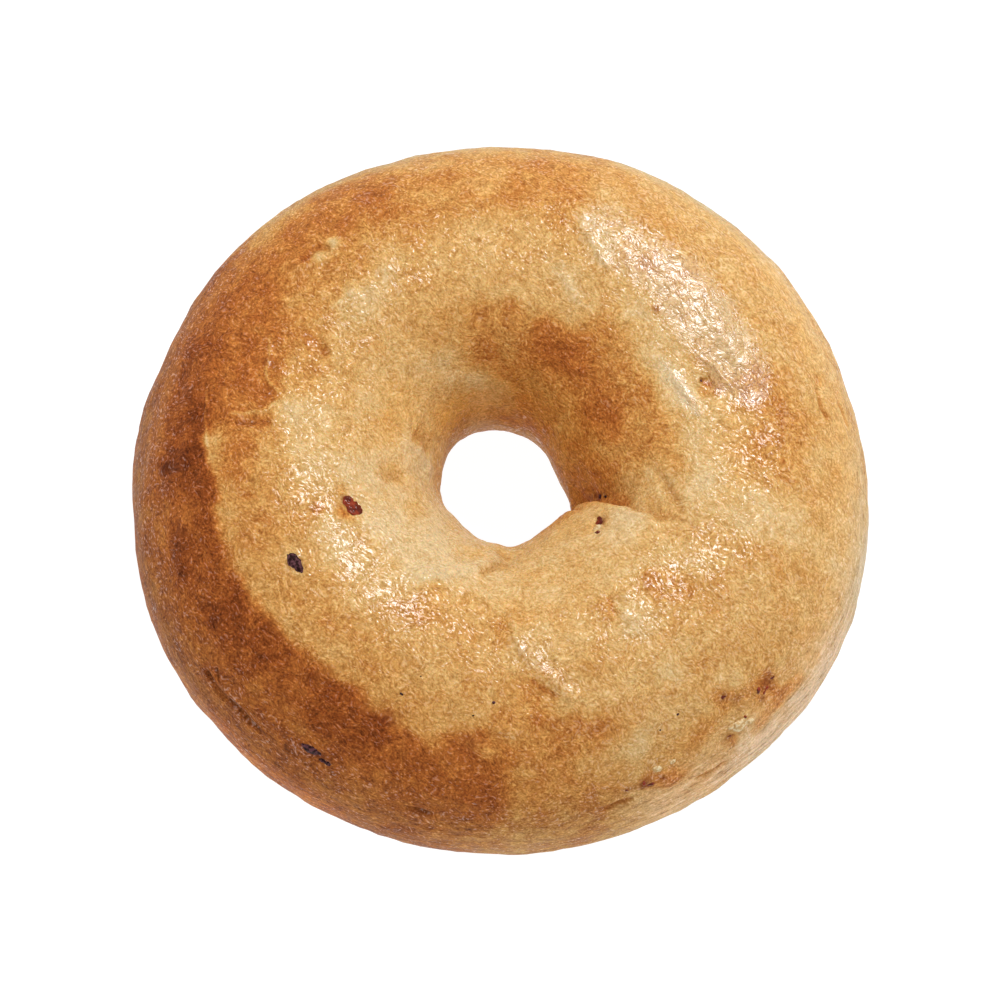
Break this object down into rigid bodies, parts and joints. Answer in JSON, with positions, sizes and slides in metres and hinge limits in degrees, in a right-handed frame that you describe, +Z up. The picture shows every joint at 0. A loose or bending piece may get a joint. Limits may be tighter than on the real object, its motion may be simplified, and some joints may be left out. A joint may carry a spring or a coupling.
{
  "type": "bagel",
  "caption": "Round baked bagel with a domed, glossy golden crust, a flat base, a small uneven hole, folds where the dough was joined and dark grains showing through.",
  "frame": {"origin": "middle of the box round the bagel, on the flat base that it rests on", "axes": "+Z up through the hole, +X to the right and +Y away, as seen from the front with the join of the dough at the right of the hole"},
  "size_m": [0.1052, 0.1032, 0.0403],
  "materials": {
    "crust": "satin to glossy baked crust"
  },
  "bodies": {
    "root": {"bagel": "crust"}
  },
  "joints": []
}
